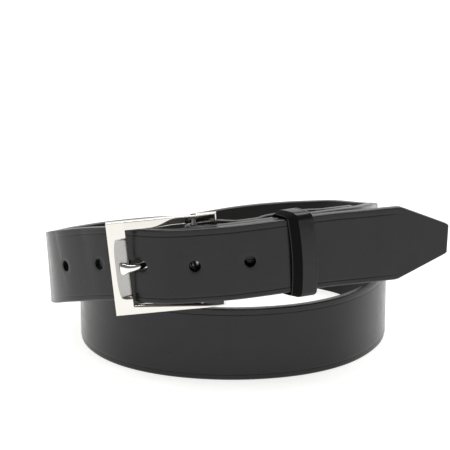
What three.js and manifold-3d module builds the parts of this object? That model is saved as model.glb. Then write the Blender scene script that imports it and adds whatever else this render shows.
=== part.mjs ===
// A man's leather belt, buckled and wound into a two-turn upright coil.
// Millimetres. X right along the buckle, Y away from the front, Z up. The stations below are laid out from the
// middle of the lower turn; the finished group is moved so that its origin is the middle of its footprint.
import * as THREE from 'three';
import { mergeVertices } from 'three/addons/utils/BufferGeometryUtils.js';
import Module from 'manifold-3d';

const wasm = await Module();
wasm.setup();

// Strap
const STRAP_WIDTH = 35;
const STRAP_THICKNESS = 3.5;
const SKIVED_THICKNESS = 2.6;
const TIP_END_WIDTH = 14;
const EDGE_CHAMFER = 0.6;
const LAYER_GAP = 0.35;
const HOLE_RADIUS = 2.7;
const HOLE_PITCH = 25;
const HOLE_COUNT = 5;
const TIP_TO_FIRST_HOLE = 96.4;
const PRONG_HOLE = 2;
const PRONG_HOLE_LENGTH = 12;
const PRONG_HOLE_STRETCH = 3.2;

// Buckle
const ROLL = THREE.MathUtils.degToRad(5.7);
const PIN_FOOT = new THREE.Vector3(-14.5, -76, 40.5);
const PIN_RADIUS = 1.2;
const PIN_FROM_FRONT = 40;
const FRAME_LENGTH = 50.5;
const FRAME_OVERHANG = 4.75;
const OPENING_MARGIN = 0.6;
const FRONT_BAR_WIDTH = 8.5;
const REAR_BAR_WIDTH = 3.2;
const FRAME_HEIGHT = STRAP_WIDTH + 2 * FRAME_OVERHANG;
const PIN_DEPTH = 1.7;
const PRONG_WIDTH = 3.7;
const PRONG_THICKNESS = 2.2;
const PRONG_EYE_RADIUS = 3;

// Keeper and screws, placed by distance from the heel bar along the base strap
const KEEPER_AT = 42;
const KEEPER_WIDTH = 11;
const KEEPER_THICKNESS = 2;
const KEEPER_CLEARANCE = 0.6;
const KEEPER_SKEW = 0.5;
const KEEPER_BULGE = 1.2;
const SCREW_AT = [25, 64];
const BARREL_RADIUS = 2;

// Middle of the footprint, in the layout the stations use; Z = 0 is the floor
const FOOTPRINT_CENTRE = new THREE.Vector3(4.22, -9.53, 0);

// Stations of the coil from the heel bar to the tip: x, y, height of the lower edge, thickness, width, lean
const W = STRAP_WIDTH;
const T = STRAP_THICKNESS;
const COIL = [
  [-14.5, -79.1, 40.5, SKIVED_THICKNESS, W, 0],
  [0, -79.8, 42, 2.9, W, 0],
  [15, -78.3, 43.6, T, W, 0],
  [31, -74.45, 44.9, T, W, 0],
  [45, -66.5, 44.5, T, W, 0],
  [55, -55.5, 42.3, T, W, 0],
  [61.5, -41, 39, T, W, 0],
  [66, -24, 34.6, T, W, 0],
  [69.2, -3, 28.3, T, W, 0],
  [66.5, 22, 22, T, W, 0],
  [54, 43.5, 17.5, T, W, 0],
  [35.5, 53.5, 14.5, T, W, 0],
  [14, 58.5, 11.5, T, W, 0],
  [-8, 59.5, 8, T, W, 0],
  [-35, 55, 4, T, W, 0],
  [-57, 42, 1, T, W, 0],
  [-70, 20, 0, T, W, 0],
  [-74.5, -5, 0, T, W, 0],
  [-69.5, -33, 0, T, W, 0],
  [-54, -56, 0, T, W, 0],
  [-30, -70.5, 0, T, W, 0],
  [0, -75.5, 0, T, W, 0],
  [30, -70, 0, T, W, 0],
  [54, -54.5, 0, T, W, 0],
  [70, -29, 0, T, W, 0],
  [75, 0, 0, T, W, 0],
  [71, 25, 0, T, W, 0],
  [58, 47, 0.5, T, W, 0],
  [37.5, 58.5, 1.5, T, W, 0],
  [14.5, 63.3, 2.5, T, W, 0],
  [-9, 64.3, 3.5, T, W, 0],
  [-38, 59.5, 4.5, T, W, 0],
  [-64.5, 45, 6, T, W, 0],
  [-82, 23, 9, T, W, 1],
  [-88.8, -3, 13.9, T, W, 2],
  [-86.1, -24, 20, T, W, 1.5],
  [-78, -40.5, 26.2, T, W, 0.5],
  [-64, -56, 32.2, T, W, 0],
  [-52, -66.6, 35.9, T, W, 0],
  [-46, -71.9, 37.2, T, W, 0],
  [-38, -77, 38.2, T, W, 0],
  [-28, -80.7, 39.15, T, W, 0],
  [-14.5, -82.55, 40.5, T, W, 0],
  [0, -83.4, 42, T, W, 0],
  [15, -82.15, 43.6, T, W, 0],
  [31, -78.5, 44.9, T, W, 0],
  [45, -73.8, 45.3, T, W, 0],
  [60, -68, 45, T, W, 0],
  [75.5, -61.5, 44.6, T, W, 0],
  [99.5, -50.7, 43.7, T, TIP_END_WIDTH, 0],
];

// Fold-back behind the base strap: distance along the base strap, spacing between the two centre lines
const FOLD_BACK = [
  [76, 3.4],
  [70, 3.4],
  [64, 3.4],
  [58, 3.6],
  [55, 4.4],
  [51, 5.8],
  [42, 6.1],
  [34, 5.8],
  [30, 3.6],
  [25, 3.35],
  [20, 3.6],
  [15.5, 5.6],
  [10, 7.8],
  [5, 7.3],
];

const FRAME_UP = new THREE.Vector3(-Math.sin(ROLL), 0, Math.cos(ROLL));
const FRAME_ALONG = new THREE.Vector3(Math.cos(ROLL), 0, Math.sin(ROLL));
const UP = new THREE.Vector3(0, 0, 1);

function manifoldOf(geometry) {
  const bare = new THREE.BufferGeometry();
  bare.setAttribute('position', geometry.getAttribute('position').clone());
  if (geometry.index) bare.setIndex(geometry.index.clone());
  const merged = mergeVertices(bare, 1e-4);
  return new wasm.Manifold(new wasm.Mesh({
    numProp: 3,
    vertProperties: new Float32Array(merged.getAttribute('position').array),
    triVerts: new Uint32Array(merged.index.array),
  }));
}

function geometryOf(manifold) {
  const mesh = manifold.getMesh();
  const geometry = new THREE.BufferGeometry();
  geometry.setAttribute('position', new THREE.BufferAttribute(new Float32Array(mesh.vertProperties), 3));
  geometry.setIndex(new THREE.BufferAttribute(new Uint32Array(mesh.triVerts), 1));
  geometry.computeVertexNormals();
  return geometry;
}

function lerp(a, b, t) {
  return a + (b - a) * t;
}

function catmullRom(a, b, c, d, t) {
  const v0 = (c - a) / 2;
  const v1 = (d - b) / 2;
  return (2 * b - 2 * c + v0 + v1) * t ** 3 + (3 * c - 3 * b - 2 * v0 - v1) * t ** 2 + v0 * t + b;
}

// The first values of a station follow a Catmull-Rom curve; the others run straight between stations
function sampleStations(stations, perSpan, curved) {
  const first = stations[0].map((v, k) => 2 * v - stations[1][k]);
  const last = stations.at(-1).map((v, k) => 2 * v - stations.at(-2)[k]);
  const padded = [first, ...stations, last];
  const samples = [];
  for (let i = 1; i < padded.length - 2; i += 1) {
    const [a, b, c, d] = padded.slice(i - 1, i + 3);
    for (let j = 0; j < perSpan; j += 1) {
      const t = j / perSpan;
      samples.push(b.map((v, k) => (k < curved ? catmullRom(a[k], v, c[k], d[k], t) : lerp(v, c[k], t))));
    }
  }
  samples.push(stations.at(-1));
  return samples;
}

// Adds to each sample its travel direction, its width direction and its outward face direction
function addAxes(samples) {
  samples.forEach((sample, i) => {
    const before = samples[Math.max(i - 1, 0)].point;
    const after = samples[Math.min(i + 1, samples.length - 1)].point;
    sample.along = after.clone().sub(before).normalize();
    const flat = sample.along.clone().cross(sample.up).normalize();
    const across = flat.clone().cross(sample.along);
    const c = Math.cos(sample.lean);
    const s = Math.sin(sample.lean);
    sample.across = across.clone().multiplyScalar(c).addScaledVector(flat, s);
    sample.out = flat.clone().multiplyScalar(c).addScaledVector(across, -s);
  });
  return samples;
}

// Sample of the strap at a distance from the start of a run of samples
function sampleAt(samples, distance) {
  let walked = 0;
  for (let i = 1; i < samples.length; i += 1) {
    const a = samples[i - 1];
    const b = samples[i];
    const step = a.point.distanceTo(b.point);
    if (walked + step >= distance) {
      const t = (distance - walked) / step;
      return {
        point: a.point.clone().lerp(b.point, t),
        along: a.along.clone().lerp(b.along, t).normalize(),
        across: a.across.clone().lerp(b.across, t).normalize(),
        out: a.out.clone().lerp(b.out, t).normalize(),
        thickness: lerp(a.thickness, b.thickness, t),
      };
    }
    walked += step;
  }
  return samples.at(-1);
}

function lengthOf(samples) {
  return samples.slice(1).reduce((sum, s, i) => sum + s.point.distanceTo(samples[i].point), 0);
}

function coilSamples() {
  return sampleStations(COIL, 4, 3).map(([x, y, z, thickness, width, lean]) => ({
    point: new THREE.Vector3(x, y, Math.max(z, 0)), thickness, width, lean: THREE.MathUtils.degToRad(lean), up: UP,
  }));
}

const coil = addAxes(coilSamples());

function foldBackSamples() {
  return sampleStations(FOLD_BACK, 2, 2).map(([distance, spacing]) => {
    const base = sampleAt(coil, distance);
    const point = base.point.addScaledVector(base.out, -spacing);
    return { point, thickness: SKIVED_THICKNESS, width: W, lean: 0, up: base.across };
  });
}

function bendSamples() {
  const radius = COIL[0][1] - PIN_FOOT.y;
  const samples = [];
  const steps = 10;
  for (let i = 0; i < steps; i += 1) {
    const angle = Math.PI * (i / steps);
    const point = PIN_FOOT.clone().addScaledVector(FRAME_ALONG, radius * Math.sin(angle));
    point.y -= radius * Math.cos(angle);
    samples.push({ point, thickness: SKIVED_THICKNESS, width: W, lean: 0, up: FRAME_UP });
  }
  return samples;
}

const fold = addAxes([...foldBackSamples(), ...bendSamples(), { ...coil[0], up: FRAME_UP }]).slice(0, -1);
const route = [...fold, ...coil];

function strapSection() {
  const w = STRAP_WIDTH / 2;
  const t = STRAP_THICKNESS / 2;
  const c = EDGE_CHAMFER;
  const outline = [
    [-w, -t + c], [-w + c, -t], [w - c, -t], [w, -t + c], [w, t - c], [w - c, t], [-w + c, t], [-w, t - c],
  ];
  return new THREE.Shape(outline.map(([x, y]) => new THREE.Vector2(x, y)));
}

// The straight strap is extruded once and each of its sections is then laid on its sample of the route
function strapBlank() {
  const steps = route.length - 1;
  const blank = new THREE.ExtrudeGeometry(strapSection(), { depth: steps, steps, bevelEnabled: false });
  const position = blank.getAttribute('position');
  for (let i = 0; i < position.count; i += 1) {
    const s = route[Math.round(position.getZ(i))];
    const across = STRAP_WIDTH / 2 + position.getX(i) * (s.width / STRAP_WIDTH);
    const out = position.getY(i) * (s.thickness / STRAP_THICKNESS);
    const p = s.point.clone().addScaledVector(s.across, across).addScaledVector(s.out, out);
    position.setXYZ(i, p.x, p.y, p.z);
  }
  return manifoldOf(blank);
}

// Matrix of a place on the strap: x along it, y up its width, z out of its face, origin at mid width
function placeOn(sample, shift = 0) {
  const origin = sample.point.clone().addScaledVector(sample.across, STRAP_WIDTH / 2);
  origin.addScaledVector(sample.out, shift);
  return new THREE.Matrix4().makeBasis(sample.along, sample.across, sample.out).setPosition(origin);
}

// Matrix of the buckle: x from the front bar to the rear bar, y up the frame, z forwards, away from the strap
function buckleMatrix() {
  const forward = new THREE.Vector3(0, -1, 0);
  const origin = PIN_FOOT.clone().addScaledVector(FRAME_ALONG, -PIN_FROM_FRONT);
  origin.addScaledVector(FRAME_UP, STRAP_WIDTH / 2);
  origin.y -= PIN_DEPTH;
  return new THREE.Matrix4().makeBasis(FRAME_ALONG, FRAME_UP, forward).setPosition(origin);
}

const BUCKLE = buckleMatrix();

function centredBox(x, y, z, cx, cy, cz) {
  return new THREE.BoxGeometry(x, y, z).translate(cx, cy, cz);
}

function roundBar(radius, length, segments = 24) {
  return new THREE.CylinderGeometry(radius, radius, length, segments);
}

function holeTool(sample, length) {
  const half = Math.max(length / 2 - HOLE_RADIUS, 0.001);
  const shape = new THREE.Shape();
  shape.absarc(half, 0, HOLE_RADIUS, -Math.PI / 2, Math.PI / 2);
  shape.absarc(-half, 0, HOLE_RADIUS, Math.PI / 2, Math.PI * 1.5);
  const depth = STRAP_THICKNESS + 1.5;
  const tool = new THREE.ExtrudeGeometry(shape, { depth, bevelEnabled: false, curveSegments: 10 });
  tool.translate(0, 0, -depth / 2).applyMatrix4(placeOn(sample));
  return manifoldOf(tool);
}

function prongSlotTool() {
  const length = 11.2;
  const slot = centredBox(length, PRONG_WIDTH + 2, 10.6, 0, 0, 0);
  slot.translate(PIN_FROM_FRONT - 4.9 + length / 2, 0, -PIN_DEPTH - 0.75);
  return manifoldOf(slot.applyMatrix4(BUCKLE));
}

// Spacing of the fold-back behind the base strap at a screw
function screwSpacing(distance) {
  const base = sampleAt(coil, distance).point;
  return Math.min(...fold.map((sample) => sample.point.distanceTo(base)));
}

function screwHoleTools(distance) {
  const sample = sampleAt(coil, distance);
  const front = sample.thickness / 2;
  const hole = roundBar(BARREL_RADIUS + 0.3, 12).rotateX(Math.PI / 2).translate(0, 0, -4.2);
  const recess = roundBar(4.1, 1.6).rotateX(Math.PI / 2).translate(0, 0, front - 1.35 + 0.8);
  const place = placeOn(sample);
  return [manifoldOf(hole.applyMatrix4(place)), manifoldOf(recess.applyMatrix4(place))];
}

function strap() {
  const total = lengthOf(coil);
  let body = strapBlank();
  for (let i = 0; i < HOLE_COUNT; i += 1) {
    const distance = total - TIP_TO_FIRST_HOLE - i * HOLE_PITCH;
    const tool = i === PRONG_HOLE
      ? holeTool(sampleAt(coil, distance - PRONG_HOLE_STRETCH), PRONG_HOLE_LENGTH)
      : holeTool(sampleAt(coil, distance), 2 * HOLE_RADIUS);
    body = body.subtract(tool);
  }
  body = body.subtract(prongSlotTool());
  for (const distance of SCREW_AT) {
    for (const tool of screwHoleTools(distance)) body = body.subtract(tool);
  }
  return geometryOf(body);
}

// Side outline of the frame: flat front bar and arms, the rear bar set back into the fold
function frameSide() {
  const front = [[0, -0.7], [0.7, 0], [34, 0], [38, 0.2], [42, 0.2], [46, -0.4], [FRAME_LENGTH, -1.0]];
  const back = [[FRAME_LENGTH, -3.4], [46, -3.6], [42, -3.7], [38, -3.7], [32, -2.9], [0, -2.8]];
  return new THREE.Shape([...front, ...back].map(([x, z]) => new THREE.Vector2(x, z)));
}

// Wedge between two triangular ends, used to bevel the inner front edge of an arm
function armBevelTool(side) {
  const start = new THREE.Shape([[0, 0], [1, 0], [0, -1]].map(([y, z]) => new THREE.Vector2(y, z)));
  const from = FRONT_BAR_WIDTH + 2;
  const to = FRAME_LENGTH - REAR_BAR_WIDTH;
  const wedge = new THREE.ExtrudeGeometry(start, { depth: to - from, bevelEnabled: false });
  const position = wedge.getAttribute('position');
  const inner = STRAP_WIDTH / 2 + OPENING_MARGIN - 0.2;
  for (let i = 0; i < position.count; i += 1) {
    const along = position.getZ(i);
    const reach = lerp(0.5, 3, along / (to - from));
    const y = inner + position.getX(i) * reach;
    const z = 0.3 + position.getY(i) * (reach * 0.6 + 0.3);
    position.setXYZ(i, from + along, side * y, z);
  }
  if (side < 0) flipFaces(wedge);
  return manifoldOf(wedge);
}

function flipFaces(geometry) {
  const position = geometry.getAttribute('position');
  const turned = position.array.slice();
  for (let i = 0; i < position.count; i += 3) {
    turned.set(position.array.subarray(i * 3 + 3, i * 3 + 6), i * 3 + 6);
    turned.set(position.array.subarray(i * 3 + 6, i * 3 + 9), i * 3 + 3);
  }
  position.array.set(turned);
}

// Scooped seat across the front bar, deepest at its inner edge, where the prong comes to rest
function prongSeatTool() {
  const inner = FRONT_BAR_WIDTH + 0.4;
  const outline = [[2.0, 0.4], [2.4, -0.1], [5.9, -1.25], [7, -1.5], [inner, -2.2], [inner, 0.4]];
  const shape = new THREE.Shape(outline.map(([x, z]) => new THREE.Vector2(x, z)));
  const height = 29;
  const tool = new THREE.ExtrudeGeometry(shape, { depth: height, bevelEnabled: false });
  tool.rotateX(Math.PI / 2).translate(0, height / 2, 0);
  return manifoldOf(tool);
}

function buckleFrame() {
  const block = new THREE.ExtrudeGeometry(frameSide(), { depth: FRAME_HEIGHT, bevelEnabled: false });
  block.rotateX(Math.PI / 2).translate(0, FRAME_HEIGHT / 2, 0);
  const openingLength = FRAME_LENGTH - FRONT_BAR_WIDTH - REAR_BAR_WIDTH;
  const openingHeight = STRAP_WIDTH + 2 * OPENING_MARGIN;
  const opening = centredBox(openingLength, openingHeight, 12, FRONT_BAR_WIDTH + openingLength / 2, 0, -2);
  const bore = roundBar(PIN_RADIUS + 0.15, FRAME_HEIGHT + 2).translate(PIN_FROM_FRONT, 0, -PIN_DEPTH);
  let body = manifoldOf(block);
  body = body.subtract(manifoldOf(opening));
  body = body.subtract(manifoldOf(bore));
  body = body.subtract(prongSeatTool());
  body = body.subtract(armBevelTool(1));
  body = body.subtract(armBevelTool(-1));
  return geometryOf(body).applyMatrix4(BUCKLE);
}

function heelBar() {
  const bar = roundBar(PIN_RADIUS, FRAME_HEIGHT - 0.4).translate(PIN_FROM_FRONT, 0, -PIN_DEPTH);
  return bar.applyMatrix4(BUCKLE);
}

// Side outline of the prong: eye on the heel bar, shank behind the strap, crank through the hole, flat tip
function prong() {
  const half = PRONG_THICKNESS / 2;
  const centre = [[37.6, -2.2], [28, -3.4], [18, -5.3], [14.8, -5.1], [9.4, -0.4], [8.2, 0.05], [6.4, 0.3]];
  const [tipX, tipZ] = [4.4, 0.45];
  const shape = new THREE.Shape();
  centre.forEach(([x, z], i) => (i ? shape.lineTo(x, z + half) : shape.moveTo(x, z + half)));
  shape.lineTo(tipX, tipZ + half * 0.4);
  shape.lineTo(tipX, tipZ - half * 0.4);
  centre.reverse().forEach(([x, z]) => shape.lineTo(x, z - half));
  const shank = new THREE.ExtrudeGeometry(shape, { depth: PRONG_WIDTH, bevelEnabled: false });
  shank.rotateX(Math.PI / 2).translate(0, PRONG_WIDTH / 2, 0);
  const eye = roundBar(PRONG_EYE_RADIUS, PRONG_WIDTH).translate(PIN_FROM_FRONT, 0, -PIN_DEPTH);
  const bore = roundBar(PIN_RADIUS + 0.3, PRONG_WIDTH + 2).translate(PIN_FROM_FRONT, 0, -PIN_DEPTH);
  const body = manifoldOf(shank).add(manifoldOf(eye)).subtract(manifoldOf(bore));
  return geometryOf(body).applyMatrix4(BUCKLE);
}

// Closed outline of the keeper loop seen along the strap, grown outwards by an amount, bulged at the front
function keeperOutline(Outline, grow) {
  const top = STRAP_WIDTH / 2 + 0.8 + grow;
  const back = -STRAP_THICKNESS / 2 - KEEPER_CLEARANCE - grow;
  const front = STRAP_THICKNESS * 1.5 + LAYER_GAP + KEEPER_CLEARANCE + grow;
  const corner = 1 + grow;
  const outline = new Outline();
  outline.moveTo(back, -top + corner);
  outline.quadraticCurveTo(back, -top, back + corner, -top);
  outline.lineTo(front - corner, -top);
  outline.quadraticCurveTo(front, -top, front, -top + corner);
  outline.quadraticCurveTo(front + 2 * KEEPER_BULGE, 0, front, top - corner);
  outline.quadraticCurveTo(front, top, front - corner, top);
  outline.lineTo(back + corner, top);
  outline.quadraticCurveTo(back, top, back, top - corner);
  outline.closePath();
  return outline;
}

// Turns the loop's drawing plane to the strap's: outline x goes out of the face, the extrusion runs along
function keeperMatrix() {
  const sample = sampleAt(coil, KEEPER_AT);
  const turn = new THREE.Matrix4().set(0, 0, 1, 0, 0, 1, 0, 0, 1, 0, 0, 0, 0, 0, 0, 1);
  const skew = new THREE.Matrix4().set(1, 0, KEEPER_SKEW, 0, 0, 1, 0, 0, 0, 0, 1, 0, 0, 0, 0, 1);
  return placeOn(sample).multiply(skew).multiply(turn);
}

function keeper() {
  const ring = keeperOutline(THREE.Shape, KEEPER_THICKNESS);
  ring.holes.push(keeperOutline(THREE.Path, 0));
  const loop = new THREE.ExtrudeGeometry(ring, { depth: KEEPER_WIDTH, bevelEnabled: false, curveSegments: 6 });
  loop.translate(0, 0, -KEEPER_WIDTH / 2).applyMatrix4(keeperMatrix());
  return geometryOf(manifoldOf(flipped(loop)));
}

// The turned outline changes hand, so the faces are turned back to look out
function flipped(geometry) {
  flipFaces(geometry);
  return geometry;
}

function lathe(outline, sample) {
  const body = new THREE.LatheGeometry(outline.map(([x, y]) => new THREE.Vector2(x, y)), 20);
  return body.rotateX(Math.PI / 2).applyMatrix4(placeOn(sample));
}

// Barrel with a flat head behind the fold-back, bored from the front for the screw
function screwPost(distance) {
  const back = -screwSpacing(distance) - SKIVED_THICKNESS / 2 - 0.5;
  const outline = [
    [0, back - 1.1], [3.7, back - 1.1], [4.0, back - 0.8], [4.0, back], [BARREL_RADIUS, back],
    [BARREL_RADIUS, 0], [1.4, 0], [1.4, back + 1], [0, back + 1],
  ];
  return lathe(outline, sampleAt(coil, distance));
}

// Screw whose flat head sits in a recess in the face of the base strap
function screwCap(distance) {
  const sample = sampleAt(coil, distance);
  const front = sample.thickness / 2 - 0.1;
  const outline = [[0, -3], [1.1, -3], [1.1, front - 1], [3.8, front - 1], [3.8, front - 0.2], [3.6, front], [0, front]];
  return lathe(outline, sample);
}

function part(name, geometry, color, roughness, metalness) {
  const mesh = new THREE.Mesh(geometry, new THREE.MeshStandardMaterial({ color, roughness, metalness }));
  mesh.name = name;
  return mesh;
}

function leather(name, geometry) {
  return part(name, geometry, 0x1b1b1d, 0.5, 0);
}

function chrome(name, geometry) {
  return part(name, geometry, 0xd9d7d2, 0.15, 1);
}

function blackened(name, geometry) {
  return part(name, geometry, 0x242426, 0.4, 0.9);
}

const belt = new THREE.Group();
belt.name = 'leather_belt';
belt.add(leather('strap', strap()));
belt.add(chrome('buckle_frame', buckleFrame()));
belt.add(chrome('heel_bar', heelBar()));
belt.add(chrome('prong', prong()));
belt.add(leather('keeper', keeper()));
SCREW_AT.forEach((distance, i) => {
  belt.add(blackened(`screw_post_${i + 1}`, screwPost(distance)));
  belt.add(blackened(`screw_cap_${i + 1}`, screwCap(distance)));
});

belt.position.copy(FOOTPRINT_CENTRE).negate();

export default belt;
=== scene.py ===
"""Looks of a man's black leather belt, buckled and wound into an upright two-turn coil.

Lengths in the tables are millimetres in the layout of the coil's stations. Making a mesh turns them into
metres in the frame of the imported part. Z is up and the buckle faces -Y.
"""

import math

import bmesh
import bpy
import numpy as np
from mathutils import Matrix, Vector

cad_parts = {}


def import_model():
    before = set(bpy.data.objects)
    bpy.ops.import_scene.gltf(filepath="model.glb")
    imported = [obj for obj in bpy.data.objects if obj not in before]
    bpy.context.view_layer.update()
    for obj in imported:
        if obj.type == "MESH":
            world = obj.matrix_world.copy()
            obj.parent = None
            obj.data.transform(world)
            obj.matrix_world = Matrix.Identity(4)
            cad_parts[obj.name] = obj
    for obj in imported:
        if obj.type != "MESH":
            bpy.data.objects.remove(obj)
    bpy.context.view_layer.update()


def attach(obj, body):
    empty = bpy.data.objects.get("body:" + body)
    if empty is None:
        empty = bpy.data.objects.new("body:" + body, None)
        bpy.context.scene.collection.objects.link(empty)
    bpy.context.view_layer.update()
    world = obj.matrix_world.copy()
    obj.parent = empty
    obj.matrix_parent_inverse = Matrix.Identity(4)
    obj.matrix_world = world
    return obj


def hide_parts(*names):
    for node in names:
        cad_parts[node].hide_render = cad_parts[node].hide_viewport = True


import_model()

MM = 0.001
FOOTPRINT_CENTRE = np.array([4.22, -9.53, 0.0])

# Strap
STRAP_WIDTH = 35.0
STRAP_THICKNESS = 3.5
SKIVED_THICKNESS = 2.6
TIP_END_WIDTH = 14.0
TIP_TAPER_LENGTH = 26.2
TIP_CORNER_RADIUS = 1.1
FOLD_END_CORNER_RADIUS = 1.0
TIP_SLANT = 1.08
EDGE_RADIUS = 0.8
BACK_EDGE_RADIUS = 0.5
CREASE_FROM_EDGE = 2.8
CREASE_DEPTH = 0.13
CREASE_HALF_WIDTH = 0.28
CREASE_FADE_LENGTH = 30.0
EDGE_ZONE = 4.2
HOLE_RADIUS = 2.7
HOLE_PITCH = 25.0
HOLE_COUNT = 5
TIP_TO_FIRST_HOLE = 96.4
PRONG_HOLE = 2
PRONG_HOLE_LENGTH = 12.0
PRONG_HOLE_STRETCH = 3.2
HOLE_DIMPLE = 0.22
HOLE_DIMPLE_REACH = 0.6
# The front face lies this far inside the CAD's, so that the smooth coil stays inside the faceted one
FACE_SETBACK = 0.06

# Buckle
ROLL = math.radians(5.7)
PIN_FOOT = np.array([-14.5, -76.0, 40.5])
PIN_RADIUS = 1.2
PIN_FROM_FRONT = 40.0
PIN_DEPTH = 1.7
FRAME_LENGTH = 50.5
FRAME_HALF_HEIGHT = 22.25
OPENING_HALF_HEIGHT = 18.1
FRONT_BAR_WIDTH = 8.5
REAR_BAR_WIDTH = 3.2
PRONG_WIDTH = 3.7
PRONG_EYE_RADIUS = 3.0

# Keeper and screws, placed by distance from the heel bar along the base strap
KEEPER_AT = 42.0
KEEPER_WIDTH = 11.0
KEEPER_THICKNESS = 2.0
KEEPER_CLEARANCE = 0.6
KEEPER_SKEW = 0.5
KEEPER_BULGE = 1.2
SKIVE_WIDTH = 3.8
SKIVE_DEPTH = 1.3
LAYER_GAP = 0.35
SCREW_AT = (25.0, 64.0)
BARREL_RADIUS = 2.0
CAP_RADIUS = 3.8

# Stations of the coil from the heel bar to the tip: x, y, height of the lower edge
COIL = [
    (-14.5, -79.1, 40.5), (0, -79.8, 42), (15, -78.3, 43.6), (31, -74.45, 44.9), (45, -66.5, 44.5),
    (55, -55.5, 42.3), (61.5, -41, 39), (66, -24, 34.6), (69.2, -3, 28.3), (66.5, 22, 22),
    (54, 43.5, 17.5), (35.5, 53.5, 14.5), (14, 58.5, 11.5), (-8, 59.5, 8), (-35, 55, 4),
    (-57, 42, 1), (-70, 20, 0), (-74.5, -5, 0), (-69.5, -33, 0), (-54, -56, 0),
    (-30, -70.5, 0), (0, -75.5, 0), (30, -70, 0), (54, -54.5, 0), (70, -29, 0),
    (75, 0, 0), (71, 25, 0), (58, 47, 0.5), (37.5, 58.5, 1.5), (14.5, 63.3, 2.5),
    (-9, 64.3, 3.5), (-38, 59.5, 4.5), (-64.5, 45, 6), (-82, 23, 9), (-88.8, -3, 13.9),
    (-86.1, -24, 20), (-78, -40.5, 26.2), (-64, -56, 32.2), (-52, -66.6, 35.9), (-46, -71.9, 37.2),
    (-38, -77, 38.2), (-28, -80.7, 39.15), (-14.5, -82.55, 40.5), (0, -83.4, 42), (15, -82.15, 43.6),
    (31, -78.5, 44.9), (45, -73.8, 45.3), (60, -68, 45), (75.5, -61.5, 44.6), (99.5, -50.7, 43.7),
]
# Thickness where it isn't the strap's own, and lean in degrees, by station number
COIL_THICKNESS = {0: SKIVED_THICKNESS, 1: 2.9}
COIL_LEAN = {33: 1.0, 34: 2.0, 35: 1.5, 36: 0.5}

# Fold-back behind the base strap: distance along the base strap, spacing between the two centre lines
FOLD_BACK = [
    (76, 3.4), (70, 3.4), (64, 3.4), (58, 3.6), (55, 4.4), (51, 5.8), (42, 6.1), (34, 5.8),
    (30, 3.6), (25, 3.35), (20, 3.6), (15.5, 5.6), (10, 7.8), (5, 7.3),
]

FRAME_UP = np.array([-math.sin(ROLL), 0.0, math.cos(ROLL)])
FRAME_ALONG = np.array([math.cos(ROLL), 0.0, math.sin(ROLL)])
UP = np.array([0.0, 0.0, 1.0])


# ---------------------------------------------------------------- the strap's route

def unit(vectors):
    return vectors / np.linalg.norm(vectors, axis=-1, keepdims=True)


def catmull_rom(stations, per_span):
    """Points of a uniform Catmull-Rom curve through the stations, per_span to a span, then the last one."""
    stations = np.array(stations, float)
    padded = np.vstack([2 * stations[0] - stations[1], stations, 2 * stations[-1] - stations[-2]])
    t = (np.arange(per_span) / per_span)[:, None]
    runs = []
    for a, b, c, d in zip(padded, padded[1:], padded[2:], padded[3:]):
        start, end = (c - a) / 2, (d - b) / 2
        cubic = 2 * b - 2 * c + start + end
        square = 3 * c - 3 * b - 2 * start - end
        runs.append(cubic * t**3 + square * t**2 + start * t + b)
    return np.vstack([*runs, stations[-1:]])


def station_values(special, usual, per_span):
    """A value given at some stations, run straight between them."""
    values = [special.get(i, usual) for i in range(len(COIL))]
    return np.interp(np.arange((len(COIL) - 1) * per_span + 1) / per_span, range(len(COIL)), values)


class Run:
    """A stretch of strap: its lower edge, its directions and its thickness at each distance along it."""

    def __init__(self, points, ups, thickness, lean=None):
        self.points = points
        self.thickness = thickness
        along = np.zeros_like(points)
        along[1:-1] = points[2:] - points[:-2]
        along[0], along[-1] = points[1] - points[0], points[-1] - points[-2]
        self.along = unit(along)
        flat = unit(np.cross(self.along, ups))
        across = np.cross(flat, self.along)
        lean = np.zeros(len(points)) if lean is None else lean
        c, s = np.cos(lean)[:, None], np.sin(lean)[:, None]
        self.across = across * c + flat * s
        self.out = flat * c - across * s
        steps = np.linalg.norm(np.diff(points, axis=0), axis=1)
        self.distance = np.concatenate([[0], np.cumsum(steps)])
        self.length = self.distance[-1]

    def _read(self, values, distances):
        columns = [np.interp(distances, self.distance, values[:, k]) for k in range(values.shape[1])]
        return np.stack(columns, axis=-1)

    def at(self, distances):
        """Points, along, across and out directions, and thicknesses at the distances."""
        directions = [unit(self._read(v, distances)) for v in (self.along, self.across, self.out)]
        thickness = np.interp(distances, self.distance, self.thickness)
        return (self._read(self.points, distances), *directions, thickness)


def coil_run(per_span=24):
    points = catmull_rom(COIL, per_span)
    points[:, 2] = np.maximum(points[:, 2], 0)
    thickness = station_values(COIL_THICKNESS, STRAP_THICKNESS, per_span)
    lean = np.radians(station_values(COIL_LEAN, 0.0, per_span))
    return Run(points, np.tile(UP, (len(points), 1)), thickness, lean)


def whole_run(coil):
    """Fold-back, bend round the heel bar and coil as one run, and the distance at which the coil starts."""
    back = catmull_rom(FOLD_BACK, 12)
    base_points, _, base_across, base_out, _ = coil.at(back[:, 0])
    fold = base_points - base_out * back[:, 1:]
    radius = COIL[0][1] - PIN_FOOT[1]
    angles = np.pi * np.arange(24) / 24
    bend = PIN_FOOT + radius * np.sin(angles)[:, None] * FRAME_ALONG
    bend[:, 1] -= radius * np.cos(angles)
    points = np.vstack([fold, bend, coil.points])
    ups = np.vstack([base_across, np.tile(FRAME_UP, (len(bend) + 1, 1)), coil.across[1:]])
    skived = np.full(len(fold) + len(bend), SKIVED_THICKNESS)
    run = Run(points, ups, np.concatenate([skived, coil.thickness]))
    return run, run.distance[len(fold) + len(bend)]


COIL_RUN = coil_run()
STRAP_RUN, COIL_START = whole_run(COIL_RUN)
HOLES = [STRAP_RUN.length - TIP_TO_FIRST_HOLE - i * HOLE_PITCH for i in range(HOLE_COUNT)]
HOLES[PRONG_HOLE] -= PRONG_HOLE_STRETCH


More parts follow.
